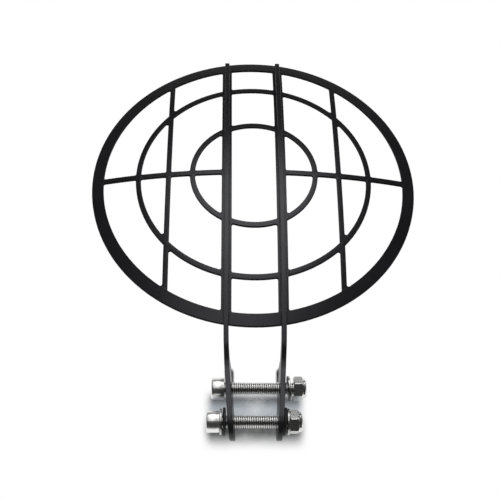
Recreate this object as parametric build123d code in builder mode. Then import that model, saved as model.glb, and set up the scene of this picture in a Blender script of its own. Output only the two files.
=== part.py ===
from build123d import *

import os
from math import asin, cos, radians, sin, sqrt, tan

# Headlight grille: a domed lattice of sheet steel on two blade plates, with the bolts of their lugs.
# Frame: +Z is up as fitted and the dome faces -Y. The origin is midway between the two bolts.
# Lengths are in millimetres and angles in degrees.

# Lattice, one sheet cut and pressed to a dome
ring_diameter = 164.0
ring_band = 6.0
middle_ring_radius = 58.2
inner_ring_radius = 30.9
thin_bar_width = 2.6
spine_bar_width = 5.0
side_bar_offset = 42.9
lattice_thickness = 1.5
dome_radius = 303.0
crossing_radius = 0.8

# Place of the ring above and in front of the bolts
leg_length = 35.0
rim_reach = 13.0

# Blades, two plates on edge that follow the dome and run down into the lugs
blade_thickness = 2.4
blade_spacing = 27.2
blade_height = 3.0
blade_end_radius = 0.7
blade_top_inset = 1.6
weld_gap = 0.05

# Legs and lugs, the lower ends of the blades
leg_drop = 9.0
leg_ease = 12.0
leg_heel = 2.0
lug_step = 12.0
fold_angle = 3.1
fold_radius = 370.0
lug_half_width = 8.7
lug_rise = 13.7
lug_corner_radius = 1.2
heel_radius = 2.5
bolt_spacing = 16.5
lug_hole_clearance = 0.3

# Socket head bolts
thread_diameter = 6.0
thread_chamfer = 0.7
head_diameter = 10.0
head_height = 6.0
head_edge = 0.6
socket_width = 5.0
socket_depth = 3.2

# Lock nuts with a nylon ring
nut_width = 10.0
nut_height = 6.0
nut_hex_height = 4.3
nut_chamfer_angle = 30.0
nut_crown_diameter = 9.2
nut_crown_edge = 0.7
nut_clearance = 0.05
nut_engagement = 2.9
nut_turn = 12.0
insert_diameter = 7.8
insert_hole = 5.5
insert_height = 1.6
insert_recess = 0.3
insert_clearance = 0.05
insert_lip = 0.4

# Washers
washer_diameter = 12.0
washer_thickness = 1.0
washer_lean = 5.5
rubber_diameter = 13.0
rubber_thickness = 1.2
rubber_lean = 2.5
washer_clearance = 0.3

# Fits along the bolts
seat_gap = 0.05
loose_play = 0.18

# Values worked out from the sizes above
ring_radius = ring_diameter / 2
blade_offset = blade_spacing / 2
blade_inside = blade_offset - blade_thickness / 2
dome_centre_y = sqrt(dome_radius**2 - ring_radius**2) - rim_reach
upper_z = bolt_spacing / 2
lower_z = -bolt_spacing / 2
blade_seat_radius = sqrt(dome_radius**2 - blade_inside**2) + weld_gap
blade_front_radius = blade_seat_radius + blade_height
ring_edge = sqrt(ring_radius**2 - blade_inside**2) + weld_gap
ring_height = leg_length + ring_edge
fold = radians(fold_angle)
washer_hole = thread_diameter + 2 * washer_clearance


def dome_y(radius, z):
    """Y of the front of a circle about the dome's centre, at a height."""
    return dome_centre_y - sqrt(radius**2 - (z - ring_height) ** 2)


def lug_face(z):
    """Distance of a lug's outer face from the middle plane, at a height."""
    below_fold = leg_length - z - fold_radius * sin(fold)
    folded_in = fold_radius * (1 - cos(fold)) + below_fold * tan(fold)
    return blade_offset + blade_thickness / 2 / cos(fold) - folded_in


# Lattice: the flat pattern of rings and bars, cut out of a spherical shell
band_middle = ring_radius - ring_band / 2


def chord(offset):
    """Length of a bar between the middles of the outer ring's band."""
    return 2 * sqrt(band_middle**2 - offset**2)


ring_plane = Plane(origin=(0, 0, ring_height), x_dir=(1, 0, 0), z_dir=(0, -1, 0))
dome_axis = Axis((0, 0, ring_height), (0, 1, 0))
rings = (
    (band_middle, ring_band),
    (middle_ring_radius, thin_bar_width),
    (inner_ring_radius, thin_bar_width),
)
with BuildPart() as grille_lattice:
    with BuildSketch(ring_plane) as pattern:
        for radius, width in rings:
            Circle(radius + width / 2)
            Circle(radius - width / 2, mode=Mode.SUBTRACT)
        with Locations((-blade_offset, 0), (blade_offset, 0)):
            Rectangle(spine_bar_width, chord(blade_offset))
        with Locations((-side_bar_offset, 0), (side_bar_offset, 0)):
            Rectangle(thin_bar_width, chord(side_bar_offset))
        with Locations((-blade_offset, 0)):
            Rectangle(band_middle - blade_offset, thin_bar_width, align=(Align.MAX, Align.CENTER))
        with Locations((blade_offset, 0)):
            Rectangle(band_middle - blade_offset, thin_bar_width, align=(Align.MIN, Align.CENTER))
        crossings = pattern.vertices().filter_by(lambda v: Vector(v.X, v.Y).length < band_middle)
        fillet(crossings, crossing_radius)
    extrude(amount=ring_diameter, both=True)
    with BuildSketch(Plane.XY.offset(ring_height)):
        with Locations((0, dome_centre_y)):
            Circle(dome_radius)
            Circle(dome_radius - lattice_thickness, mode=Mode.SUBTRACT)
        Rectangle(ring_radius, dome_radius, align=(Align.MIN, Align.CENTER), mode=Mode.INTERSECT)
    revolve(axis=dome_axis, mode=Mode.INTERSECT)

# Blades: a side outline with the bolt holes, thinned to a plate that folds inward below the ring
blade_top_z = ring_height + ring_edge - blade_top_inset
ease_top_z = leg_length - leg_drop
ease_foot_z = ease_top_z - leg_ease
lug_top_z = upper_z + lug_rise
ease_slope = asin((ring_height - ease_top_z) / blade_front_radius)
rim_back_y = dome_y(dome_radius - lattice_thickness, leg_length)

with BuildPart() as right_blade:
    with BuildSketch(Plane.YZ) as side_outline:
        top_front = (dome_y(blade_front_radius, blade_top_z), blade_top_z)
        crown_front = (dome_y(blade_front_radius, ring_height), ring_height)
        ease_top = (dome_y(blade_front_radius, ease_top_z), ease_top_z)
        ease_foot = (-lug_half_width, ease_foot_z)
        lug_foot = (0, lower_z - lug_half_width)
        shoulder = (lug_half_width, lug_top_z)
        waist = (lug_half_width - lug_step, lug_top_z)
        heel = (rim_back_y + leg_heel, leg_length)
        low_seat = (dome_y(blade_seat_radius, leg_length), leg_length)
        crown_seat = (dome_y(blade_seat_radius, ring_height), ring_height)
        top_seat = (dome_y(blade_seat_radius, blade_top_z), blade_top_z)
        with BuildLine():
            ThreePointArc(top_front, crown_front, ease_top)
            Spline(ease_top, ease_foot, tangents=((sin(ease_slope), -cos(ease_slope)), (0, -1)))
            Line(ease_foot, (-lug_half_width, lower_z))
            ThreePointArc((-lug_half_width, lower_z), lug_foot, (lug_half_width, lower_z))
            Polyline((lug_half_width, lower_z), shoulder, waist, heel, low_seat)
            ThreePointArc(low_seat, crown_seat, top_seat)
            Line(top_seat, top_front)
        make_face()
        fillet(side_outline.vertices().group_by(Axis.Y)[-1], blade_end_radius)
        fillet(side_outline.vertices().sort_by_distance(shoulder)[0], lug_corner_radius)
        fillet(side_outline.vertices().sort_by_distance(waist)[0], heel_radius)
        with Locations((0, upper_z), (0, lower_z)):
            Circle(thread_diameter / 2 + lug_hole_clearance, mode=Mode.SUBTRACT)
    extrude(amount=blade_spacing)
    with BuildSketch(Plane.XZ):
        with BuildLine():
            straight = Line((blade_offset, ring_height + ring_diameter), (blade_offset, leg_length))
            bend = JernArc(straight @ 1, straight % 1, fold_radius, -fold_angle)
            Line(bend @ 1, bend @ 1 + (bend % 1) * ring_diameter)
        trace(line_width=blade_thickness)
    extrude(amount=ring_diameter, both=True, mode=Mode.INTERSECT)

with BuildPart() as left_blade:
    mirror(right_blade.part, about=Plane.YZ)


# Bolts, nuts and washers, made about the bolts' axes along X
def along(x, z):
    """Plane through a bolt's axis, with its X along the bolt from a place on it."""
    return Plane(origin=(x, 0, z), x_dir=(1, 0, 0), z_dir=(0, -1, 0))


def across(x, z):
    """Plane across a bolt's axis, facing the nut's end."""
    return Plane(origin=(x, 0, z), x_dir=(0, 1, 0), z_dir=(1, 0, 0))


def socket_bolt(seat_x, z):
    """Socket head bolt whose head bears at a place along its axis."""
    with BuildPart() as bolt:
        with BuildSketch(along(seat_x, z)) as section:
            with BuildLine():
                Polyline(
                    (-head_height, 0),
                    (-head_height, head_diameter / 2),
                    (0, head_diameter / 2),
                    (0, thread_diameter / 2),
                    (bolt_length - thread_chamfer, thread_diameter / 2),
                    (bolt_length, thread_diameter / 2 - thread_chamfer),
                    (bolt_length, 0),
                    close=True,
                )
            make_face()
            chamfer(section.vertices().group_by(Axis.X)[0].sort_by(Axis.Y)[-1], head_edge)
        revolve(axis=Axis((0, 0, z), (1, 0, 0)))
        with BuildSketch(across(seat_x - head_height, z)):
            RegularPolygon(socket_width / 2, 6, major_radius=False)
        extrude(amount=socket_depth, mode=Mode.SUBTRACT)
    return bolt


def lock_nut(start_x, z):
    """Six-sided nut with a round crown that is hollowed for its nylon ring."""
    corner = nut_width / sqrt(3)
    bevel = (corner - nut_width / 2) * tan(radians(nut_chamfer_angle))
    bore = thread_diameter / 2 + nut_clearance
    crown = nut_crown_diameter / 2
    pocket = insert_diameter / 2 + insert_clearance
    floor = nut_height - insert_recess - insert_height - 2 * insert_clearance
    with BuildPart() as nut:
        with BuildSketch(across(start_x, z).rotated((nut_turn, 0, 0))):
            RegularPolygon(nut_width / 2, 6, major_radius=False)
        extrude(amount=nut_height)
        with BuildSketch(along(start_x, z)):
            with BuildLine():
                Polyline(
                    (0, bore),
                    (0, nut_width / 2),
                    (bevel, corner),
                    (nut_hex_height - bevel, corner),
                    (nut_hex_height, nut_width / 2),
                    (nut_hex_height, crown),
                    (nut_height - nut_crown_edge, crown),
                    (nut_height, crown - nut_crown_edge),
                    (nut_height, pocket - insert_lip),
                    (nut_height - insert_recess, pocket - insert_lip),
                    (nut_height - insert_recess, pocket),
                    (floor, pocket),
                    (floor, bore),
                    close=True,
                )
            make_face()
        revolve(axis=Axis((0, 0, z), (1, 0, 0)), mode=Mode.INTERSECT)
    return nut


def flat_ring(plane, diameter, hole, thickness):
    """Flat ring with its middle on a plane."""
    with BuildPart() as ring:
        with BuildSketch(plane):
            Circle(diameter / 2)
            Circle(hole / 2, mode=Mode.SUBTRACT)
        extrude(amount=thickness / 2, both=True)
    return ring


def nylon_ring(nut_x, z):
    """Nylon ring that lies in the pocket of a nut's crown."""
    middle_x = nut_x + nut_height - insert_recess - insert_clearance - insert_height / 2
    return flat_ring(across(middle_x, z), insert_diameter, insert_hole, insert_height)


# Places along the lower bolt, from the right lug out to its nut and from the left lug out to its head
right_rubber_x = lug_face(lower_z) + (seat_gap + rubber_thickness / 2) / cos(fold)
right_rubber_rim = rubber_thickness / 2 * cos(fold) + rubber_diameter / 2 * sin(fold)
nut_washer_x = right_rubber_x + right_rubber_rim + seat_gap + washer_thickness / 2
lower_nut_x = nut_washer_x + washer_thickness / 2 + seat_gap
lean = radians(rubber_lean)
left_rubber_room = rubber_thickness * cos(lean) + rubber_diameter * sin(lean)
left_rubber_x = -lug_face(lower_z + rubber_diameter / 2) - seat_gap - left_rubber_room / 2
head_washer_x = left_rubber_x - left_rubber_room / 2 - loose_play - washer_thickness / 2
lower_head_x = head_washer_x - washer_thickness / 2 - seat_gap
bolt_length = lower_nut_x + nut_engagement - lower_head_x

# Places along the upper bolt, with its head on the left lug and its washer loose before the nut
upper_head_x = -lug_face(upper_z + head_diameter / 2) - seat_gap
upper_nut_x = upper_head_x + bolt_length - nut_engagement
upper_washer_x = (lug_face(upper_z) + upper_nut_x) / 2

left_rubber_plane = across(left_rubber_x, lower_z).rotated((0, 0, rubber_lean))
right_rubber_plane = across(right_rubber_x, lower_z).rotated((0, fold_angle, 0))
upper_washer_plane = across(upper_washer_x, upper_z).rotated((0, -washer_lean, 0))
head_washer_plane = across(head_washer_x, lower_z)
nut_washer_plane = across(nut_washer_x, lower_z)

pieces = {
    "grille_lattice": grille_lattice,
    "left_blade": left_blade,
    "right_blade": right_blade,
    "upper_bolt": socket_bolt(upper_head_x, upper_z),
    "lower_bolt": socket_bolt(lower_head_x, lower_z),
    "upper_nut": lock_nut(upper_nut_x, upper_z),
    "lower_nut": lock_nut(lower_nut_x, lower_z),
    "upper_nut_insert": nylon_ring(upper_nut_x, upper_z),
    "lower_nut_insert": nylon_ring(lower_nut_x, lower_z),
    "upper_nut_washer": flat_ring(upper_washer_plane, washer_diameter, washer_hole, washer_thickness),
    "lower_head_washer": flat_ring(head_washer_plane, washer_diameter, washer_hole, washer_thickness),
    "lower_nut_washer": flat_ring(nut_washer_plane, washer_diameter, washer_hole, washer_thickness),
    "left_rubber_washer": flat_ring(left_rubber_plane, rubber_diameter, washer_hole, rubber_thickness),
    "right_rubber_washer": flat_ring(right_rubber_plane, rubber_diameter, washer_hole, rubber_thickness),
}
os.makedirs("parts", exist_ok=True)
for name, piece in pieces.items():
    piece.part.label = name
    export_step(piece.part, f"parts/{name}.step")
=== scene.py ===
import logging
import math
from dataclasses import dataclass
from enum import Enum
from typing import Callable, Mapping, Optional, Union

import bmesh
import bpy
from mathutils import Matrix, Vector


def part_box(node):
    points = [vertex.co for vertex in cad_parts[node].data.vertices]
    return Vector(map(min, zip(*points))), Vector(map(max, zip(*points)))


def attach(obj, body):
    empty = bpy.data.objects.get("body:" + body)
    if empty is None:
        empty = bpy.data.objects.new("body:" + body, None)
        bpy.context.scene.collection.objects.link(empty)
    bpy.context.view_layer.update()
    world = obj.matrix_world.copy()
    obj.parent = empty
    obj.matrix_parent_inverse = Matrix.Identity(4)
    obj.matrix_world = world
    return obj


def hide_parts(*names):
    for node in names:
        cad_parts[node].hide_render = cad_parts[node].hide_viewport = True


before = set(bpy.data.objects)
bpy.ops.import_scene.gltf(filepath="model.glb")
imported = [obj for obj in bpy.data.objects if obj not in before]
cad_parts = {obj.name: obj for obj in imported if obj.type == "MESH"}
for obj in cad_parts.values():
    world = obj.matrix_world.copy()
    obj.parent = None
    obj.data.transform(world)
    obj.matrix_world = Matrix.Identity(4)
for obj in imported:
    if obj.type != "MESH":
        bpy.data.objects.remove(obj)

# Looks of the headlight grille: each solid with rounded edges and its finish, the bolts with their threads,
# and the white table, the lamps and the camera.
# The frame is the part's own: +Z is up as fitted, the dome faces -Y and the bolts lie along X.
# Lengths are in metres and angles in radians.

MM = 0.001
BODY = "root"
THREAD_CUT = "thread_cut"
log = logging.getLogger("headlight_grille")

Colour = tuple[float, float, float, float]
Point = tuple[float, float, float]
Band = tuple[float, float]
Socket = bpy.types.NodeSocket
SocketValue = Union[float, Colour, Point, Socket]
ValueAtTurn = Callable[[float], float]

WHITE: Colour = (1.0, 1.0, 1.0, 1.0)


class Slot(Enum):
    """Material slots of the record."""

    COATED_STEEL = "coated_steel"
    BRIGHT_STEEL = "bright_steel"
    NYLON = "nylon"
    RUBBER = "rubber"


class Level(Enum):
    """The two bolts of the lugs."""

    UPPER = "upper"
    LOWER = "lower"


def share_of_one(value: float) -> float:
    """Keep a value between 0 and 1."""
    return min(max(value, 0.0), 1.0)


def eased(share: float) -> float:
    """Ease a share between 0 and 1 in and out."""
    return share * share * (3 - 2 * share)


def off_middle(turns: float) -> float:
    """How far the part of a turn that is left after whole turns lies from half a turn, from 0 to 1."""
    return abs(turns % 1.0 - 0.5) * 2


class NodeBoard:
    """Adds nodes to one node tree and links them."""

    # The Mix node has sockets of the same name for each kind of value. These are the numbers for colours.
    MIX_FACTOR = 0
    MIX_FIRST = 6
    MIX_SECOND = 7
    MIX_RESULT = 2

    def __init__(self, tree: bpy.types.NodeTree) -> None:
        """Keep the tree that the nodes go into."""
        self.tree = tree

    def add(
        self, kind: str, inputs: Optional[Mapping[Union[str, int], SocketValue]] = None, **settings: object
    ) -> bpy.types.Node:
        """Add one node, with its settings and its inputs.

        Args:
            kind: Blender's name of the node's type.
            inputs: Values, or the sockets that feed them, by socket name or number.
            settings: Attributes of the node.

        Returns:
            The new node.
        """
        node = self.tree.nodes.new(kind)
        for name, setting in settings.items():
            setattr(node, name, setting)
        for key, value in (inputs or {}).items():
            if isinstance(value, Socket):
                self.tree.links.new(value, node.inputs[key])
            else:
                node.inputs[key].default_value = value
        return node

    def feed(self, shader: bpy.types.Node, **sockets: Socket) -> None:
        """Link sockets to a shader's inputs.

        Args:
            shader: The shader node.
            sockets: Source sockets by the input's name, with an underscore for each space.
        """
        for label, socket in sockets.items():
            self.tree.links.new(socket, shader.inputs[label.replace("_", " ")])

    def remap(self, value: Socket, low: float, high: float) -> Socket:
        """Stretch a value between 0 and 1 to another range.

        Args:
            value: Socket of the value.
            low: What 0 becomes.
            high: What 1 becomes.

        Returns:
            Socket of the stretched value.
        """
        node = self.add("ShaderNodeMapRange", {"Value": value, "To Min": low, "To Max": high})
        return node.outputs["Result"]

    def threshold(self, value: Socket, band: Band) -> Socket:
        """Turn a value into a soft mask.

        Args:
            value: Socket of the value.
            band: Where the mask begins and where it is full.

        Returns:
            Socket of the mask.
        """
        start, full = band
        node = self.add(
            "ShaderNodeMapRange",
            {"Value": value, "From Min": start, "From Max": full},
            interpolation_type="SMOOTHSTEP",
        )
        return node.outputs["Result"]

    def mix(self, factor: Socket, first: SocketValue, second: SocketValue) -> Socket:
        """Mix two colours.

        Args:
            factor: Socket of the share of the second colour.
            first: Colour, or its socket, at 0.
            second: Colour, or its socket, at 1.

        Returns:
            Socket of the mixed colour.
        """
        inputs = {self.MIX_FACTOR: factor, self.MIX_FIRST: first, self.MIX_SECOND: second}
        return self.add("ShaderNodeMix", inputs, data_type="RGBA").outputs[self.MIX_RESULT]

    def maths(self, operation: str, first: SocketValue, second: SocketValue) -> Socket:
        """Work out one value from two.

        Args:
            operation: Blender's name of the operation.
            first: First value or its socket.
            second: Second value or its socket.

        Returns:
            Socket of the result.
        """
        return self.add("ShaderNodeMath", {0: first, 1: second}, operation=operation).outputs[0]

    def relief(self, height: Socket, depth: float, strength: float) -> Socket:
        """Turn a height into a bumped normal.

        Args:
            height: Socket of the height, between 0 and 1.
            depth: Depth of the relief.
            strength: Share of the relief that shows.

        Returns:
            Socket of the normal.
        """
        bump = self.add("ShaderNodeBump", {"Height": height, "Distance": depth, "Strength": strength})
        return bump.outputs["Normal"]

    def ray_masks(self) -> tuple[Socket, Socket]:
        """Tell apart the rays that show a surface from those that light others.

        Returns:
            Masks of the camera's rays, and of the rays that metal or glass sends on.
        """
        rays = self.add("ShaderNodeLightPath")
        sent_on = self.maths("MAXIMUM", rays.outputs["Is Glossy Ray"], rays.outputs["Is Transmission Ray"])
        return rays.outputs["Is Camera Ray"], sent_on


class EffectGroup:
    """Shader node group that several finishes share."""

    name: str = ""
    inputs: Mapping[str, float] = {}
    outputs: tuple[str, ...] = ()

    def tree(self) -> bpy.types.NodeTree:
        """Make the group's tree, or find it if it was made before.

        Returns:
            The group's node tree.
        """
        found = bpy.data.node_groups.get(self.name)
        if found:
            return found
        tree = bpy.data.node_groups.new(self.name, "ShaderNodeTree")
        for label, value in self.inputs.items():
            socket = tree.interface.new_socket(label, in_out="INPUT", socket_type="NodeSocketFloat")
            socket.default_value = value
        for label in self.outputs:
            tree.interface.new_socket(label, in_out="OUTPUT", socket_type="NodeSocketFloat")
        board = NodeBoard(tree)
        entry = board.add("NodeGroupInput")
        board.add("NodeGroupOutput", self.draw(board, entry))
        return tree

    def draw(self, board: NodeBoard, entry: bpy.types.Node) -> dict[str, Socket]:
        """Draw the group's nodes.

        Args:
            board: Board of the group's tree.
            entry: The group's input node.

        Returns:
            The sockets that feed the group's outputs, by output name.
        """
        raise NotImplementedError

    def place(self, board: NodeBoard, **values: float) -> bpy.types.Node:
        """Place the group in a material.

        Args:
            board: Board of the material's tree.
            values: Values of the group's inputs, by name.

        Returns:
            The group's node in the material.
        """
        return board.add("ShaderNodeGroup", values, node_tree=self.tree())


class SkinGrain(EffectGroup):
    """Fine relief of a sprayed, rolled or moulded skin, and a slow drift over it."""

    name = "skin_grain"
    inputs = {"Grain": 900.0, "Drift": 40.0}
    outputs = ("Height", "Tone")
    grain_detail: float = 3.0
    grain_roughness: float = 0.45
    drift_detail: float = 4.0
    drift_roughness: float = 0.6
    tone_band: Band = (0.3, 0.7)

    def draw(self, board: NodeBoard, entry: bpy.types.Node) -> dict[str, Socket]:
        """Draw two noises at two scales.

        Args:
            board: Board of the group's tree.
            entry: The group's input node.

        Returns:
            Sockets of the relief's height and of the slow tone.
        """
        place = board.add("ShaderNodeTexCoord").outputs["Object"]
        grain = board.add(
            "ShaderNodeTexNoise",
            {
                "Vector": place,
                "Scale": entry.outputs["Grain"],
                "Detail": self.grain_detail,
                "Roughness": self.grain_roughness,
            },
        )
        drift = board.add(
            "ShaderNodeTexNoise",
            {
                "Vector": place,
                "Scale": entry.outputs["Drift"],
                "Detail": self.drift_detail,
                "Roughness": self.drift_roughness,
            },
        )
        tone = board.threshold(drift.outputs["Fac"], self.tone_band)
        return {"Height": grain.outputs["Fac"], "Tone": tone}


class HandlingMarks(EffectGroup):
    """Faint smears and specks that handling leaves on a clean part."""

    name = "handling_marks"
    inputs = {"Smears": 60.0, "Specks": 1400.0}
    outputs = ("Smear", "Speck")
    smear_detail: float = 5.0
    smear_distortion: float = 1.2
    smear_band: Band = (0.52, 0.74)
    speck_band: Band = (0.16, 0.06)

    def draw(self, board: NodeBoard, entry: bpy.types.Node) -> dict[str, Socket]:
        """Draw stretched smears, and small round specks within them.

        Args:
            board: Board of the group's tree.
            entry: The group's input node.

        Returns:
            Sockets of the two masks.
        """
        place = board.add("ShaderNodeTexCoord").outputs["Object"]
        smears = board.add(
            "ShaderNodeTexNoise",
            {
                "Vector": place,
                "Scale": entry.outputs["Smears"],
                "Detail": self.smear_detail,
                "Distortion": self.smear_distortion,
            },
        )
        specks = board.add("ShaderNodeTexVoronoi", {"Vector": place, "Scale": entry.outputs["Specks"]})
        smear = board.threshold(smears.outputs["Fac"], self.smear_band)
        speck = board.threshold(specks.outputs["Distance"], self.speck_band)
        return {"Smear": smear, "Speck": board.maths("MULTIPLY", speck, smear)}


SKIN_GRAIN = SkinGrain()
HANDLING_MARKS = HandlingMarks()


class Finish:
    """What a piece is dressed in: one material with a Principled shader."""

    name: str

    def material(self) -> bpy.types.Material:
        """Make the finish's material, or find it if it was made before.

        Returns:
            The material.
        """
        found = bpy.data.materials.get(self.name)
        if found:
            return found
        material = bpy.data.materials.new(self.name)
        material.use_nodes = True
        self.paint(NodeBoard(material.node_tree), material.node_tree.nodes["Principled BSDF"])
        return material

    def paint(self, board: NodeBoard, shader: bpy.types.Node) -> None:
        """Set the shader's plain values and feed its other sockets.

        Args:
            board: Board of the material's tree.
            shader: The material's shader node.
        """
        raise NotImplementedError


@dataclass(frozen=True)
class PowderCoat(Finish):
    """Satin black powder coat on sheet steel, with a fine orange-peel skin."""

    name: str = "satin_powder_coat"
    deep: Colour = (0.0075, 0.0075, 0.0085, 1.0)
    pale: Colour = (0.0115, 0.0115, 0.0130, 1.0)
    dust: Colour = (0.05, 0.05, 0.052, 1.0)
    specular: float = 0.44
    specular_tint: Colour = (0.95, 0.95, 1.0, 1.0)
    gloss_roughness: float = 0.35
    dull_roughness: float = 0.43
    peel_per_metre: float = 850.0
    drift_per_metre: float = 55.0
    smears_per_metre: float = 60.0
    specks_per_metre: float = 1400.0
    peel_depth: float = 0.04 * MM
    peel_strength: float = 0.35

    def paint(self, board: NodeBoard, shader: bpy.types.Node) -> None:
        """Set the coat's gloss, and feed its tone, dust and orange peel.

        Args:
            board: Board of the material's tree.
            shader: The material's shader node.
        """
        shader.inputs["Specular IOR Level"].default_value = self.specular
        shader.inputs["Specular Tint"].default_value = self.specular_tint
        grain = SKIN_GRAIN.place(board, Grain=self.peel_per_metre, Drift=self.drift_per_metre)
        marks = HANDLING_MARKS.place(board, Smears=self.smears_per_metre, Specks=self.specks_per_metre)
        coat = board.mix(grain.outputs["Tone"], self.deep, self.pale)
        dusted = board.mix(marks.outputs["Speck"], coat, self.dust)
        rough = board.remap(marks.outputs["Smear"], self.gloss_roughness, self.dull_roughness)
        normal = board.relief(grain.outputs["Height"], self.peel_depth, self.peel_strength)
        board.feed(shader, Base_Color=dusted, Roughness=rough, Normal=normal)


@dataclass(frozen=True)
class BrightSteel(Finish):
    """Stainless steel with fine tool lines across the bolts' axes, darker in the roots of a thread from oil
    and painted shade.
    """

    name: str
    bright: Colour
    dull: Colour
    clean_roughness: float
    smeared_roughness: float
    # Colour of the thread's roots: oil there, and painted shade where the roots lie hidden from the light.
    root: Colour = (0.34, 0.335, 0.33, 1.0)
    root_oil_and_shade_band: Band = (0.25, 0.95)
    lines_per_metre: float = 2600.0
    line_distortion: float = 1.5
    line_detail: float = 2.0
    line_depth: float = 0.006 * MM
    line_strength: float = 0.12
    grain_per_metre: float = 2200.0
    drift_per_metre: float = 260.0
    smears_per_metre: float = 240.0
    specks_per_metre: float = 5200.0

    def paint(self, board: NodeBoard, shader: bpy.types.Node) -> None:
        """Make the shader a metal, and feed its tone, smears and tool lines.

        Args:
            board: Board of the material's tree.
            shader: The material's shader node.
        """
        shader.inputs["Metallic"].default_value = 1.0
        grain = SKIN_GRAIN.place(board, Grain=self.grain_per_metre, Drift=self.drift_per_metre)
        marks = HANDLING_MARKS.place(board, Smears=self.smears_per_metre, Specks=self.specks_per_metre)
        lines = board.add(
            "ShaderNodeTexWave",
            {
                "Vector": board.add("ShaderNodeTexCoord").outputs["Object"],
                "Scale": self.lines_per_metre,
                "Distortion": self.line_distortion,
                "Detail": self.line_detail,
            },
            bands_direction="X",
        )
        height = board.mix(grain.outputs["Tone"], lines.outputs["Fac"], grain.outputs["Height"])
        steel = board.mix(grain.outputs["Tone"], self.bright, self.dull)
        specked = board.mix(marks.outputs["Speck"], steel, self.dull)
        cut = board.add("ShaderNodeAttribute", attribute_name=THREAD_CUT).outputs["Fac"]
        # Darken the thread's roots: oil and painted shade.
        shaded = board.mix(board.threshold(cut, self.root_oil_and_shade_band), specked, self.root)
        rough = board.remap(marks.outputs["Smear"], self.clean_roughness, self.smeared_roughness)
        normal = board.relief(height, self.line_depth, self.line_strength)
        board.feed(shader, Base_Color=shaded, Roughness=rough, Normal=normal)


@dataclass(frozen=True)
class MouldedSkin(Finish):
    """Plain moulded nylon or rubber, with its own tones and grain."""

    name: str
    deep: Colour
    pale: Colour
    gloss_roughness: float
    dull_roughness: float
    grain_per_metre: float = 3000.0
    drift_per_metre: float = 300.0
    smears_per_metre: float = 260.0
    specks_per_metre: float = 4200.0
    grain_depth: float = 0.03 * MM
    grain_strength: float = 0.4

    def paint(self, board: NodeBoard, shader: bpy.types.Node) -> None:
        """Feed the skin's tone, smears and grain.

        Args:
            board: Board of the material's tree.
            shader: The material's shader node.
        """
        grain = SKIN_GRAIN.place(board, Grain=self.grain_per_metre, Drift=self.drift_per_metre)
        marks = HANDLING_MARKS.place(board, Smears=self.smears_per_metre, Specks=self.specks_per_metre)
        skin = board.mix(grain.outputs["Tone"], self.deep, self.pale)
        rough = board.remap(marks.outputs["Smear"], self.gloss_roughness, self.dull_roughness)
        normal = board.relief(grain.outputs["Height"], self.grain_depth, self.grain_strength)
        board.feed(shader, Base_Color=skin, Roughness=rough, Normal=normal)


POWDER_COAT = PowderCoat()
# Painted shade: a darker, barely glossy copy of the coat for the lattice's sideways cut faces.
SHADED_CUT_EDGE_COAT = PowderCoat(
    "cut_edge_shaded_coat",
    deep=(0.0035, 0.0035, 0.0040, 1.0),
    pale=(0.0055, 0.0055, 0.0060, 1.0),
    specular=0.03,
    gloss_roughness=0.48,
    dull_roughness=0.58,
)
TURNED_STEEL = BrightSteel(
    "turned_stainless",
    bright=(0.87, 0.865, 0.855, 1.0),
    dull=(0.83, 0.825, 0.815, 1.0),
    clean_roughness=0.28,
    smeared_roughness=0.32,
)
SATIN_STEEL = BrightSteel(
    "satin_stainless",
    bright=(0.79, 0.785, 0.77, 1.0),
    dull=(0.70, 0.695, 0.68, 1.0),
    clean_roughness=0.19,
    smeared_roughness=0.25,
)
PRESSED_STEEL = BrightSteel(
    "pressed_stainless",
    bright=(0.50, 0.50, 0.49, 1.0),
    dull=(0.42, 0.42, 0.41, 1.0),
    clean_roughness=0.28,
    smeared_roughness=0.36,
)
NATURAL_NYLON = MouldedSkin(
    "natural_nylon",
    deep=(0.62, 0.61, 0.55, 1.0),
    pale=(0.74, 0.73, 0.68, 1.0),
    gloss_roughness=0.38,
    dull_roughness=0.52,
)
BLACK_RUBBER = MouldedSkin(
    "black_rubber",
    deep=(0.010, 0.010, 0.010, 1.0),
    pale=(0.018, 0.018, 0.018, 1.0),
    gloss_roughness=0.55,
    dull_roughness=0.75,
)


def dress(piece: bpy.types.Object, node: str, finish: Finish) -> None:
    """Give a piece its finish, and let it stand for its node and ride its body.

    Args:
        piece: The piece.
        node: Name of the node that the piece stands for.
        finish: What the piece is dressed in.
    """
    piece.data.materials.clear()
    piece.data.materials.append(finish.material())
    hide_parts(node)
    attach(piece, BODY)
    log.info("%s stands for %s in %s", piece.name, node, finish.name)


def shown(name: str, mesh: bpy.types.Mesh) -> bpy.types.Object:
    """Put a mesh into the scene.

    Args:
        name: Name of the new object.
        mesh: Its mesh.

    Returns:
        The new object.
    """
    piece = bpy.data.objects.new(name, mesh)
    bpy.context.scene.collection.objects.link(piece)
    return piece


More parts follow.
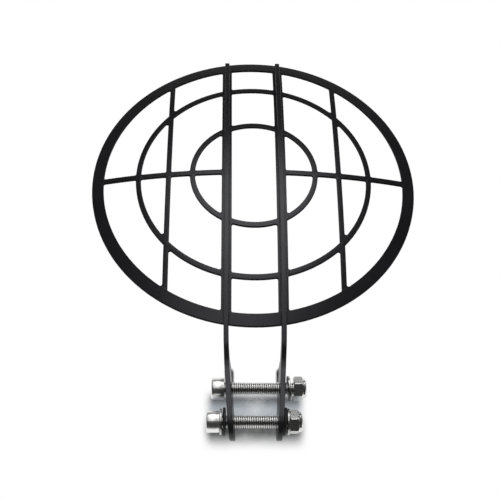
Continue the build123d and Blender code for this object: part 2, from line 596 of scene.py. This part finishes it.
@dataclass
class EdgeRounder:
    """Copies a node's mesh and rounds its sharp edges, as coating, tumbling or moulding does."""

    radius: float
    segments: int = 3
    sharp_angle: float = math.radians(28.0)
    weld_distance: float = 0.001 * MM
    flat_angle: float = math.radians(0.05)
    face_weight: int = 80

    def copy(self, node: str, name: str) -> bpy.types.Object:
        """Make a rounded copy of a node.

        Args:
            node: Name of the node.
            name: Name of the copy.

        Returns:
            The copy.
        """
        piece = shown(name, self.clean_mesh(node, name))
        rounding = piece.modifiers.new("rounded_edges", "BEVEL")
        rounding.width = self.radius
        rounding.segments = self.segments
        rounding.limit_method = "ANGLE"
        rounding.angle_limit = self.sharp_angle
        rounding.use_clamp_overlap = False
        rounding.loop_slide = False
        flats = piece.modifiers.new("flat_faces", "WEIGHTED_NORMAL")
        flats.weight = self.face_weight
        flats.keep_sharp = False
        return piece

    def clean_mesh(self, node: str, name: str) -> bpy.types.Mesh:
        """Copy a node's mesh, weld it and join the triangles of its flat faces.

        Args:
            node: Name of the node.
            name: Name of the new mesh.

        Returns:
            The new mesh.
        """
        work = bmesh.new()
        work.from_mesh(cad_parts[node].data)
        bmesh.ops.remove_doubles(work, verts=work.verts, dist=self.weld_distance)
        bmesh.ops.dissolve_limit(
            work,
            angle_limit=self.flat_angle,
            verts=work.verts,
            edges=work.edges,
            use_dissolve_boundaries=False,
        )
        for face in work.faces:
            face.smooth = True
        mesh = bpy.data.meshes.new(name)
        work.to_mesh(mesh)
        work.free()
        return mesh


@dataclass
class LampGuard:
    """The coated unit: the domed lattice and the two blades that carry it."""

    lattice_edge: float = 0.22 * MM
    lattice_edge_segments: int = 2
    cut_face_tilt: float = 0.6
    blade_edge: float = 0.25 * MM
    left_toe: float = math.radians(4.8)
    right_toe: float = math.radians(2.2)
    toe_front: float = -8.7 * MM
    toe_begins: float = 30.0 * MM
    toe_full: float = 25.0 * MM
    toe_cuts: int = 6

    def build_lattice(self) -> bpy.types.Object:
        """Round the lattice's cut edges."""
        return EdgeRounder(self.lattice_edge, self.lattice_edge_segments).copy("grille_lattice", "lattice")

    def shade_cut_faces(self, lattice: bpy.types.Object) -> None:
        """Give the faces that the cutter left, which face sideways, a darker and barely glossy copy of the
        coat as painted shade.

        Args:
            lattice: The dressed lattice.
        """
        lattice.data.materials.append(SHADED_CUT_EDGE_COAT.material())
        for face in lattice.data.polygons:
            face.material_index = int(abs(face.normal.y) < self.cut_face_tilt)

    def build_blade(self, node: str, toe: float) -> bpy.types.Object:
        """Round the edges of one blade, and bend the rear of its lug inwards.

        Args:
            node: Name of the blade's node.
            toe: Angle of the bend.

        Returns:
            The blade.
        """
        blade = EdgeRounder(self.blade_edge).copy(node, f"{node}_plate")
        work = bmesh.new()
        work.from_mesh(blade.data)
        self.cut_across(work)
        for point in work.verts:
            bent = share_of_one((self.toe_begins - point.co.z) / (self.toe_begins - self.toe_full))
            shift = math.tan(toe) * bent * max(point.co.y - self.toe_front, 0.0)
            point.co.x -= math.copysign(shift, point.co.x)
        work.to_mesh(blade.data)
        work.free()
        return blade

    def cut_across(self, work: bmesh.types.BMesh) -> None:
        """Cut a blade's faces across where its lug begins to bend, so that they follow the bend.

        Args:
            work: The blade's mesh.
        """
        for cut in range(self.toe_cuts + 1):
            level = self.toe_begins + (self.toe_full - self.toe_begins) * cut / self.toe_cuts
            parts = [*work.verts, *work.edges, *work.faces]
            bmesh.ops.bisect_plane(work, geom=parts, plane_co=(0.0, 0.0, level), plane_no=(0.0, 0.0, 1.0))

    def build(self) -> None:
        """Build the lattice and the blades, and dress them in powder coat."""
        lattice = self.build_lattice()
        dress(lattice, "grille_lattice", POWDER_COAT)
        # The sideways cut faces take the painted shade of the darker coat copy.
        self.shade_cut_faces(lattice)
        for node, toe in (("left_blade", self.left_toe), ("right_blade", self.right_toe)):
            dress(self.build_blade(node, toe), node, POWDER_COAT)


class Lathe:
    """Spins closed shells of rings about an axis along X into one mesh."""

    def __init__(self, axis_z: float) -> None:
        """Start an empty mesh.

        Args:
            axis_z: Height of the axis.
        """
        self.axis_z = axis_z
        self.sides = 0
        self.work = bmesh.new()
        self.cut = self.work.verts.layers.float.new(THREAD_CUT)
        self.last: list[bmesh.types.BMVert] = []

    def begin(self, x: float, sides: int) -> None:
        """Begin a shell with a point on the axis.

        Args:
            x: Place along the axis.
            sides: Number of points in each of the shell's rings.
        """
        self.sides = sides
        self.last = [self.work.verts.new((x, 0.0, self.axis_z))]

    def ring(self, x: float, radius: ValueAtTurn, cut: Optional[ValueAtTurn] = None) -> None:
        """Add one ring, and join it to the last one.

        Args:
            x: Place along the axis.
            radius: Radius at an angle.
            cut: How deep the thread is cut at an angle, from 0 to 1.
        """
        points = []
        for index in range(self.sides):
            turn = math.tau * index / self.sides
            reach = radius(turn)
            place = (x, reach * math.cos(turn), self.axis_z + reach * math.sin(turn))
            point = self.work.verts.new(place)
            point[self.cut] = cut(turn) if cut else 0.0
            points.append(point)
        for index in range(self.sides):
            after = (index + 1) % self.sides
            if len(self.last) == 1:
                self.work.faces.new((self.last[0], points[index], points[after]))
            else:
                self.work.faces.new((self.last[index], points[index], points[after], self.last[after]))
        self.last = points

    def end(self, x: float) -> None:
        """End the shell with a point on the axis.

        Args:
            x: Place along the axis.
        """
        point = self.work.verts.new((x, 0.0, self.axis_z))
        for index in range(self.sides):
            self.work.faces.new((self.last[index], self.last[(index + 1) % self.sides], point))

    def mesh(self, name: str, sharp_angle: float) -> bpy.types.Mesh:
        """Finish the mesh.

        Args:
            name: Name of the mesh.
            sharp_angle: Edges sharper than this stay sharp.

        Returns:
            The mesh, smooth apart from its sharp edges.
        """
        bmesh.ops.recalc_face_normals(self.work, faces=self.work.faces)
        for face in self.work.faces:
            face.smooth = True
        mesh = bpy.data.meshes.new(name)
        self.work.to_mesh(mesh)
        self.work.free()
        mesh.set_sharp_from_angle(angle=sharp_angle)
        return mesh


@dataclass
class SocketBolt:
    """Socket head bolt with a knurled head and a rolled thread over its whole shank."""

    node: str
    turn: float
    head_diameter: float = 10.0 * MM
    head_height: float = 6.0 * MM
    head_edge: float = 0.6 * MM
    collar: float = 0.75 * MM
    bearing_edge: float = 0.2 * MM
    knurl_count: int = 66
    knurl_depth: float = 0.014 * MM
    knurl_steepness: float = 1.4
    socket_width: float = 5.0 * MM
    socket_depth: float = 3.2 * MM
    socket_lead: float = 0.25 * MM
    socket_cone: float = 0.9 * MM
    thread_diameter: float = 6.0 * MM
    thread_pitch: float = 1.0 * MM
    thread_depth: float = 0.58 * MM
    crest_share: float = 0.22
    root_share: float = 0.14
    plain_neck: float = 0.48 * MM
    runout: float = 1.2 * MM
    point_chamfer: float = 0.7 * MM
    head_sides: int = 396
    thread_sides: int = 64
    rings_per_pitch: int = 18
    edge_steps: int = 5
    sharp_angle: float = math.radians(38.0)

    def socket_radius(self, turn: float) -> float:
        """Radius of the six-sided socket at an angle."""
        sector = math.pi / 3
        return self.socket_width / 2 / math.cos((turn - self.turn) % sector - sector / 2)

    def knurl_radius(self, turn: float) -> float:
        """Radius of the knurled side of the head at an angle."""
        groove = off_middle(turn * self.knurl_count / math.tau)
        return self.head_diameter / 2 - self.knurl_depth * min(1.0, self.knurl_steepness * groove)

    def thread_cut(self, along: float, turn: float) -> float:
        """How deep the thread is cut at a place.

        Args:
            along: Distance from under the head.
            turn: Angle about the axis.

        Returns:
            The depth, from 0 at a crest to 1 in a root.
        """
        from_crest = off_middle(along / self.thread_pitch - (turn + self.turn) / math.tau)
        flank = share_of_one((from_crest - self.crest_share) / (1 - self.crest_share - self.root_share))
        begun = share_of_one((along - self.plain_neck) / self.runout)
        return eased(flank) * begun

    def thread_radius(self, along: float, turn: float, left: float) -> float:
        """Radius of the thread.

        Args:
            along: Distance from under the head.
            turn: Angle about the axis.
            left: Distance to the point's end.

        Returns:
            The radius at that place.
        """
        threaded = self.thread_diameter / 2 - self.thread_depth * self.thread_cut(along, turn)
        return min(threaded, self.thread_diameter / 2 - self.point_chamfer + left)

    def spin_head(self, lathe: Lathe, start: float, seat: float) -> None:
        """Spin the head, from the bottom of its socket to its bearing face.

        Args:
            lathe: Lathe that takes the rings.
            start: Place of the head's end.
            seat: Place of its bearing face.
        """
        floor = start + self.socket_depth
        mouth = self.socket_width / math.sqrt(3) + self.socket_lead
        shoulder = self.head_diameter / 2 - self.knurl_depth
        lathe.begin(floor + self.socket_cone, self.head_sides)
        lathe.ring(floor, self.socket_radius)
        lathe.ring(start + 2 * self.socket_lead, self.socket_radius)
        lathe.ring(start, lambda turn: mouth)
        for step in range(self.edge_steps + 1):
            bend = math.pi / 2 * step / self.edge_steps
            reach = shoulder - self.head_edge * (1 - math.sin(bend))
            lathe.ring(start + self.head_edge * (1 - math.cos(bend)), lambda turn, reach=reach: reach)
        lathe.ring(start + self.head_edge + self.knurl_depth, self.knurl_radius)
        lathe.ring(seat - self.collar - self.knurl_depth, self.knurl_radius)
        lathe.ring(seat - self.collar, lambda turn: shoulder)
        lathe.ring(seat - self.bearing_edge, lambda turn: shoulder)
        lathe.ring(seat, lambda turn: shoulder - self.bearing_edge)
        lathe.end(seat)

    def spin_shank(self, lathe: Lathe, seat: float, end: float) -> None:
        """Spin the threaded shank, from inside the head to its point.

        Args:
            lathe: Lathe that takes the rings.
            seat: Place of the head's bearing face.
            end: Place of the point's end.
        """
        length = end - seat
        lathe.begin(seat - self.bearing_edge, self.thread_sides)
        lathe.ring(seat - self.bearing_edge, lambda turn: self.thread_diameter / 2)
        count = round(length / self.thread_pitch * self.rings_per_pitch)
        for index in range(count + 1):
            along = length * index / count
            lathe.ring(
                seat + along,
                lambda turn, along=along: self.thread_radius(along, turn, length - along),
                lambda turn, along=along: self.thread_cut(along, turn),
            )
        lathe.end(end)

    def build(self) -> bpy.types.Object:
        """Build the bolt where its node lies.

        Returns:
            The bolt.
        """
        low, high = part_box(self.node)
        lathe = Lathe((low[2] + high[2]) / 2)
        seat = low[0] + self.head_height
        self.spin_head(lathe, low[0], seat)
        self.spin_shank(lathe, seat, high[0])
        return shown(f"{self.node}_threaded", lathe.mesh(self.node, self.sharp_angle))


@dataclass
class BoltSet:
    """One bolt of the lugs, with its lock nut, nylon ring and washers."""

    level: Level
    bolt_turn: float
    nut_turn: float
    steel_washers: tuple[str, ...]
    rubber_washers: tuple[str, ...] = ()
    nut_edge: float = 0.20 * MM
    insert_edge: float = 0.12 * MM
    washer_edge: float = 0.12 * MM
    rubber_edge: float = 0.30 * MM

    def build(self) -> None:
        """Build the bolt and what is on it, and dress each piece."""
        prefix = self.level.value
        bolt = SocketBolt(f"{prefix}_bolt", self.bolt_turn)
        dress(bolt.build(), bolt.node, TURNED_STEEL)
        self.round_over(f"{prefix}_nut", self.nut_edge, SATIN_STEEL, self.nut_turn)
        self.round_over(f"{prefix}_nut_insert", self.insert_edge, NATURAL_NYLON)
        for node in self.steel_washers:
            self.round_over(node, self.washer_edge, PRESSED_STEEL)
        for node in self.rubber_washers:
            self.round_over(node, self.rubber_edge, BLACK_RUBBER)

    def round_over(self, node: str, radius: float, finish: Finish, turn: float = 0.0) -> None:
        """Round the edges of one piece and dress it.

        Args:
            node: Name of the node.
            radius: Radius of its edges.
            finish: What the piece is dressed in.
            turn: How far it is screwed round the bolt's axis from where its node stands.
        """
        piece = EdgeRounder(radius).copy(node, f"{node}_rounded")
        low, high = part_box(f"{self.level.value}_bolt")
        axis = Matrix.Translation((0.0, 0.0, (low[2] + high[2]) / 2))
        piece.data.transform(axis @ Matrix.Rotation(turn, 4, "X") @ axis.inverted())
        dress(piece, node, finish)


def standing(place: Vector, right: Vector, back: Vector) -> Matrix:
    """Stand a lamp or a camera at a place.

    Args:
        place: Where it stands.
        right: Direction of its right side, of length 1.
        back: Direction of its back, of length 1 and square to the right.

    Returns:
        Its matrix.
    """
    return Matrix.Translation(place) @ Matrix((right, back.cross(right), back)).transposed().to_4x4()


@dataclass(frozen=True)
class SoftBox:
    """Even rectangular lamp that faces a point of the part."""

    name: str
    middle: Point
    faces: Point
    width: float
    height: float
    radiance: float

    def hang(self) -> None:
        """Hang the lamp with its face to that point, its width level."""
        data = bpy.data.lights.new(self.name, "AREA")
        data.shape = "RECTANGLE"
        data.size = self.width
        data.size_y = self.height
        data.energy = self.radiance * math.pi * self.width * self.height
        lamp = bpy.data.objects.new(self.name, data)
        middle = Vector(self.middle)
        away = (middle - Vector(self.faces)).normalized()
        across = Vector((0.0, 0.0, 1.0)).cross(away).normalized()
        lamp.matrix_world = standing(middle, across, away)
        bpy.context.scene.collection.objects.link(lamp)


@dataclass
class WhiteTable:
    """White table that the part lies on its back on, with painted shadow only round the bolts and along the
    lugs.
    """

    middle: Point = (0.0, -0.0010, 0.1065)
    normal: Point = (0.0, -0.9935, -0.114)
    half_width: float = 0.45
    plain_level: float = 0.60
    sky_samples: int = 8
    shade_behind: Colour = (0.085, 0.091, 0.097, 1.0)
    shade_between: Colour = (0.37, 0.405, 0.44, 1.0)
    shade_under: Colour = (0.045, 0.048, 0.048, 1.0)
    shade_reach: float = 14.5 * MM
    shade_band: Band = (0.83, 0.65)
    shade_deepening: float = 0.13
    behind_band: Band = (2.0 * MM, 8.5 * MM)
    under_band: Band = (1.0 * MM, -6.0 * MM)
    shade_top: Band = (13.0 * MM, 7.0 * MM)
    shade_foot: Band = (-18.5 * MM, -7.5 * MM)
    shade_side: Band = (25.8 * MM, 19.5 * MM)
    contact_shade: Colour = (0.018, 0.019, 0.020, 1.0)
    contact_reach: float = 1.6 * MM
    contact_band: Band = (0.97, 0.72)
    contact_top: Band = (27.0 * MM, 24.0 * MM)
    contact_side: Band = (18.0 * MM, 15.0 * MM)

    def lay(self) -> None:
        """Lay the table behind the part."""
        middle = Vector(self.middle)
        normal = Vector(self.normal)
        across = Vector((1.0, 0.0, 0.0))
        along = normal.cross(across).normalized()
        corners = [
            tuple(middle + self.half_width * (sideways * across + endways * along))
            for sideways, endways in ((-1, -1), (1, -1), (1, 1), (-1, 1))
        ]
        mesh = bpy.data.meshes.new("table")
        mesh.from_pydata(corners, [], [(0, 1, 2, 3)])
        if mesh.polygons[0].normal.dot(normal) < 0:
            mesh.flip_normals()
        mesh.materials.append(self.material())
        shown("table", mesh)

    def openness(self, board: NodeBoard, reach: float) -> Socket:
        """How open the table is to the sky, where only what lies within a reach hides it.

        Args:
            board: Board of the material's tree.
            reach: The reach.

        Returns:
            Socket of the openness, from 0 to 1.
        """
        sky = board.add("ShaderNodeAmbientOcclusion", {"Distance": reach}, samples=self.sky_samples)
        return sky.outputs["AO"]

    def bolt_shade(self, board: NodeBoard, height: Socket, sideways: Socket) -> Socket:
        """Paint shadow on the white table round the bolts.

        Args:
            board: Board of the material's tree.
            height: Socket of the height above the bolts' middle.
            sideways: Socket of the distance from the part's middle plane.

        Returns:
            Socket of the table's colour with the painted shadow.
        """
        below_legs = board.threshold(height, self.shade_top)
        above_foot = board.threshold(height, self.shade_foot)
        between_ends = board.threshold(sideways, self.shade_side)
        near_bolts = board.maths("MULTIPLY", board.maths("MULTIPLY", below_legs, above_foot), between_ends)
        behind = board.threshold(height, self.behind_band)
        under = board.threshold(height, self.under_band)
        deepening = board.maths("MULTIPLY", under, self.shade_deepening)
        openness = board.maths("SUBTRACT", self.openness(board, self.shade_reach), deepening)
        hidden = board.maths("MULTIPLY", board.threshold(openness, self.shade_band), near_bolts)
        upper_shade = board.mix(behind, self.shade_between, self.shade_behind)
        return board.mix(hidden, WHITE, board.mix(under, upper_shade, self.shade_under))

    def contact(self, board: NodeBoard, height: Socket, sideways: Socket) -> Socket:
        """Find where the lugs touch the table, where a painted contact shadow goes.

        Args:
            board: Board of the material's tree.
            height: Socket of the height above the bolts' middle.
            sideways: Socket of the distance from the part's middle plane.

        Returns:
            Socket of a mask of the contact.
        """
        touching = board.threshold(self.openness(board, self.contact_reach), self.contact_band)
        below_legs = board.threshold(height, self.contact_top)
        beside_lugs = board.threshold(sideways, self.contact_side)
        return board.maths("MULTIPLY", touching, board.maths("MULTIPLY", below_legs, beside_lugs))

    def material(self) -> bpy.types.Material:
        """Make the table's material: painted shadow on even white in front, see-through from behind.

        Returns:
            The material.
        """
        material = bpy.data.materials.new("white_table")
        material.use_nodes = True
        material.node_tree.nodes.clear()
        board = NodeBoard(material.node_tree)
        place = board.add("ShaderNodeSeparateXYZ", {0: board.add("ShaderNodeTexCoord").outputs["Object"]})
        height = place.outputs["Z"]
        sideways = board.maths("ABSOLUTE", place.outputs["X"], 0.0)
        # Painted shadow round the bolts and a painted contact line along the lugs go into the table's
        # colour.
        shaded = self.bolt_shade(board, height, sideways)
        colour = board.mix(self.contact(board, height, sideways), shaded, self.contact_shade)
        from_camera, sent_on = board.ray_masks()
        level = board.remap(board.maths("MAXIMUM", from_camera, sent_on), self.plain_level, 1.0)
        front = board.add("ShaderNodeEmission", {"Color": colour, "Strength": level})
        clear = board.add("ShaderNodeBsdfTransparent")
        from_behind = board.add("ShaderNodeNewGeometry").outputs["Backfacing"]
        surface = board.add(
            "ShaderNodeMixShader", {0: from_behind, 1: front.outputs[0], 2: clear.outputs[0]}
        )
        board.add("ShaderNodeOutputMaterial", {"Surface": surface.outputs[0]})
        return material


@dataclass
class Studio:
    """White table, soft light and the camera."""

    eye: Point = (-0.0141, -0.4400, -0.1944)
    right: Point = (0.99970, -0.02325, -0.00785)
    up: Point = (-0.00582, -0.53546, 0.84454)
    lens: float = 74.3
    sensor: float = 36.0
    nearest: float = 0.01
    fill: Colour = (0.42, 0.42, 0.43, 1.0)
    room: Colour = (0.03, 0.03, 0.031, 1.0)
    sweep_lean: Point = (0.0, 1.0, 0.25)
    sweep_band: Band = (-0.05, 0.35)
    boxes: tuple[SoftBox, ...] = (
        SoftBox(
            "top_box",
            middle=(0.0, -0.265, 0.161),
            faces=(0.0, -0.143, -0.069),
            width=0.18,
            height=0.26,
            radiance=2.3,
        ),
        SoftBox(
            "front_box",
            middle=(-0.035, -0.415, -0.015),
            faces=(0.0, 0.0, -0.077),
            width=0.22,
            height=0.20,
            radiance=1.3,
        ),
    )

    def place_camera(self) -> None:
        """Put the camera where the photograph was taken."""
        data = bpy.data.cameras.new("camera")
        data.lens = self.lens
        data.sensor_width = self.sensor
        data.clip_start = self.nearest
        camera = bpy.data.objects.new("camera", data)
        right = Vector(self.right).normalized()
        back = right.cross(Vector(self.up)).normalized()
        camera.matrix_world = standing(Vector(self.eye), right, back)
        bpy.context.scene.collection.objects.link(camera)
        bpy.context.scene.camera = camera

    def paint_world(self) -> None:
        """Paint a white sweep behind the part and a dim room in front of it."""
        world = bpy.data.worlds.new("studio")
        bpy.context.scene.world = world
        world.use_nodes = True
        world.node_tree.nodes.clear()
        board = NodeBoard(world.node_tree)
        from_camera, sent_on = board.ray_masks()
        heading = board.add("ShaderNodeTexCoord").outputs["Generated"]
        back = board.add("ShaderNodeVectorMath", {0: heading, 1: self.sweep_lean}, operation="DOT_PRODUCT")
        rearward = board.threshold(back.outputs["Value"], self.sweep_band)
        sweep = board.maths("MULTIPLY", sent_on, rearward)
        room = board.mix(sent_on, self.fill, self.room)
        seen = board.mix(board.maths("MAXIMUM", from_camera, sweep), room, WHITE)
        light = board.add("ShaderNodeBackground", {"Color": seen, "Strength": 1.0})
        board.add("ShaderNodeOutputWorld", {"Surface": light.outputs[0]})

    def build(self) -> None:
        """Build the table, the light and the camera."""
        bpy.context.scene.view_settings.view_transform = "Standard"
        WhiteTable().lay()
        self.paint_world()
        for box in self.boxes:
            box.hang()
        self.place_camera()
        log.info("studio is set")


def main() -> None:
    """Build the grille and its studio."""
    logging.basicConfig(level=logging.INFO, format="%(message)s")
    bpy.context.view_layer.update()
    LampGuard().build()
    BoltSet(
        Level.UPPER,
        bolt_turn=0.2,
        nut_turn=math.radians(-11.5),
        steel_washers=("upper_nut_washer",),
    ).build()
    BoltSet(
        Level.LOWER,
        bolt_turn=1.1,
        nut_turn=math.radians(-1.0),
        steel_washers=("lower_head_washer", "lower_nut_washer"),
        rubber_washers=("left_rubber_washer", "right_rubber_washer"),
    ).build()
    Studio().build()


if __name__ == "__main__":
    main()
